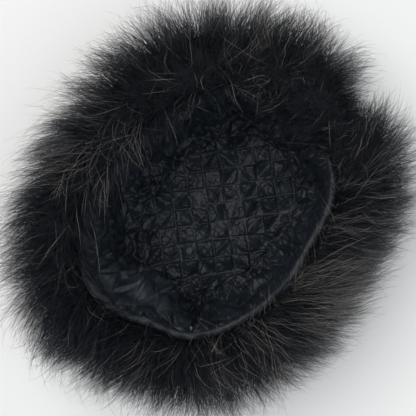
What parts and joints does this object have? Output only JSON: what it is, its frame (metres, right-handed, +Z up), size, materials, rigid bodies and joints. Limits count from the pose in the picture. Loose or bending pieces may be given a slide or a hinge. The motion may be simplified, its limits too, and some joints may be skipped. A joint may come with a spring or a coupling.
{
  "type": "cossack hat",
  "caption": "Round long-haired fur hat with a deep side band, quilted padded satin lining and a satin-bound oval opening, lying on its crown.",
  "frame": {"origin": "middle of the flat pressed fur under the crown, which the hat rests on", "axes": "+Z up, out of the opening; +Y along the oval's length, towards the seam of the fur band at the back; +X across the oval, to the left of a head that goes in from above"},
  "size_m": [0.2939, 0.3375, 0.1593],
  "materials": {
    "band_fur": "long black fur with grey-brown guard hairs",
    "crown_fur": "long black fur, pressed flat",
    "lining_satin": "black quilted satin over wadding",
    "crown_lining_satin": "black quilted satin over wadding",
    "binding_satin": "smooth black satin"
  },
  "bodies": {
    "root": {"fur_band": "band_fur", "fur_crown": "crown_fur", "lining_wall": "lining_satin", "lining_tip": "crown_lining_satin", "rim_binding": "binding_satin"}
  },
  "joints": []
}
